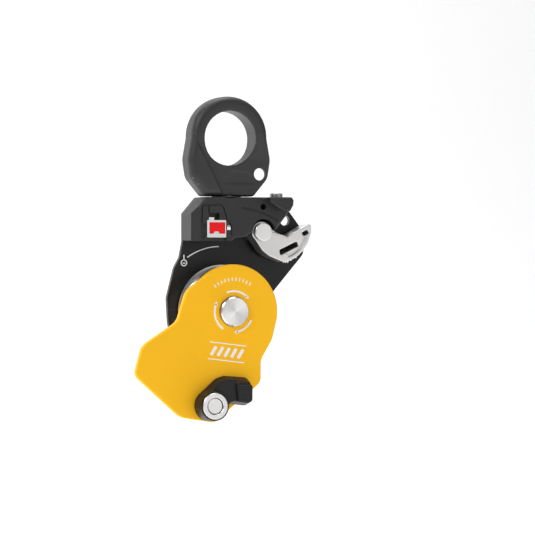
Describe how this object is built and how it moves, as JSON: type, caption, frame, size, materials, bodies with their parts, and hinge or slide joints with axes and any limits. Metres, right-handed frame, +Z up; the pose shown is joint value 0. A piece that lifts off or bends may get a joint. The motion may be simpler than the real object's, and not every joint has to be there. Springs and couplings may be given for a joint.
{
  "type": "rope pulley",
  "caption": "Swivel-topped rope pulley with a toothed progress-capture cam and a side plate that swings open on the sheave axle, held by a thumb catch.",
  "frame": {"origin": "centre of the swivel eye's hole", "axes": "+Z up along the swivel's axis, +Y along the eye's hole and the sheave axle, away from the moving side plate"},
  "size_m": [0.1003, 0.0361, 0.1671],
  "materials": {
    "dark_forged_alloy": "matte dark hard-anodised forging",
    "dark_head_alloy": "matte dark grey anodised",
    "black_anodised_alloy": "glossy black anodised sheet",
    "gold_anodised_alloy": "satin golden-yellow anodised",
    "silver_alloy": "turned, satin",
    "satin_steel": "satin, polished edges",
    "plain_steel": "zinc plated",
    "spring_steel": "drawn wire",
    "bearing_steel": "ground and polished",
    "cage_plastic": "moulded",
    "seal_rubber": "moulded",
    "bronze_bush": "sintered",
    "black_plastic": "fine-grained moulding",
    "red_plastic": "moulded, glossy"
  },
  "bodies": {
    "eye": {"swivel_eye": "dark_forged_alloy", "swivel_bolt": "plain_steel"},
    "frame": {"swivel_washers": "plain_steel", "head_block": "dark_head_alloy", "fixed_side_plate": "black_anodised_alloy", "head_rivets": "plain_steel", "hook_block": "dark_head_alloy", "hook_screw": "plain_steel", "indicator_spring": "spring_steel", "sheave_axle": "satin_steel", "axle_nut": "plain_steel", "axle_spacers": "plain_steel", "bearing_inner_races": "bearing_steel", "cam_pivot_pin": "satin_steel", "cam_pin_spacer": "plain_steel", "cam_pin_clip": "spring_steel"},
    "indicator": {"indicator_slider": "satin_steel", "indicator_red_tab": "red_plastic"},
    "sheave": {"sheave": "silver_alloy", "bearing_outer_races": "bearing_steel", "bearing_seals": "seal_rubber"},
    "ball_cage": {"bearing_balls": "bearing_steel", "bearing_cages": "cage_plastic"},
    "cam": {"cam": "satin_steel", "cam_bushing": "bronze_bush", "cam_spring": "spring_steel"},
    "side_plate": {"moving_side_plate": "gold_anodised_alloy", "plate_bushing": "bronze_bush", "catch_post": "plain_steel", "catch_ring": "satin_steel", "catch_spring": "spring_steel"},
    "catch_lever": {"catch_lever": "black_plastic"},
    "catch_bolt": {"catch_bolt": "satin_steel"}
  },
  "joints": [
    {"name": "swivel_turn", "type": "hinge", "parent": "eye", "child": "frame", "pos_m": [0, 0, -0.03], "axis": [0, 0, 1], "continuous": true},
    {"name": "sheave_spin", "type": "hinge", "parent": "frame", "child": "sheave", "pos_m": [0, 0, -0.089], "axis": [0, 1, 0], "continuous": true},
    {"name": "cage_spin", "type": "hinge", "parent": "frame", "child": "ball_cage", "pos_m": [0, 0, -0.089], "axis": [0, 1, 0], "continuous": true},
    {"name": "side_plate_swing", "type": "hinge", "parent": "frame", "child": "side_plate", "pos_m": [0, 0, -0.089], "axis": [0, 1, 0], "range_deg": [0, 153]},
    {"name": "catch_lever_turn", "type": "hinge", "parent": "side_plate", "child": "catch_lever", "pos_m": [-0.0137, -0.011, -0.1368], "axis": [0, 1, 0], "range_deg": [0, 35], "stiffness_Nm_per_rad": 0.02},
    {"name": "catch_bolt_slide", "type": "slide", "parent": "side_plate", "child": "catch_bolt", "axis": [0, 1, 0], "range_m": [0, 0.003], "deforming": ["catch_spring"]},
    {"name": "indicator_slide", "type": "slide", "parent": "frame", "child": "indicator", "axis": [0, 0, -1], "range_m": [0, 0.0022], "stiffness_N_per_m": 100, "deforming": ["indicator_spring"]},
    {"name": "cam_swing", "type": "hinge", "parent": "frame", "child": "cam", "pos_m": [0.018, 0, -0.048], "axis": [0, 1, 0], "range_deg": [0, 62], "deforming": ["cam_spring"]}
  ],
  "couplings": [
    {"joint": "cage_spin", "follows": "sheave_spin", "ratio": 0.5945},
    {"joint": "catch_bolt_slide", "follows": "catch_lever_turn", "m_per_rad": 0.00491}
  ]
}
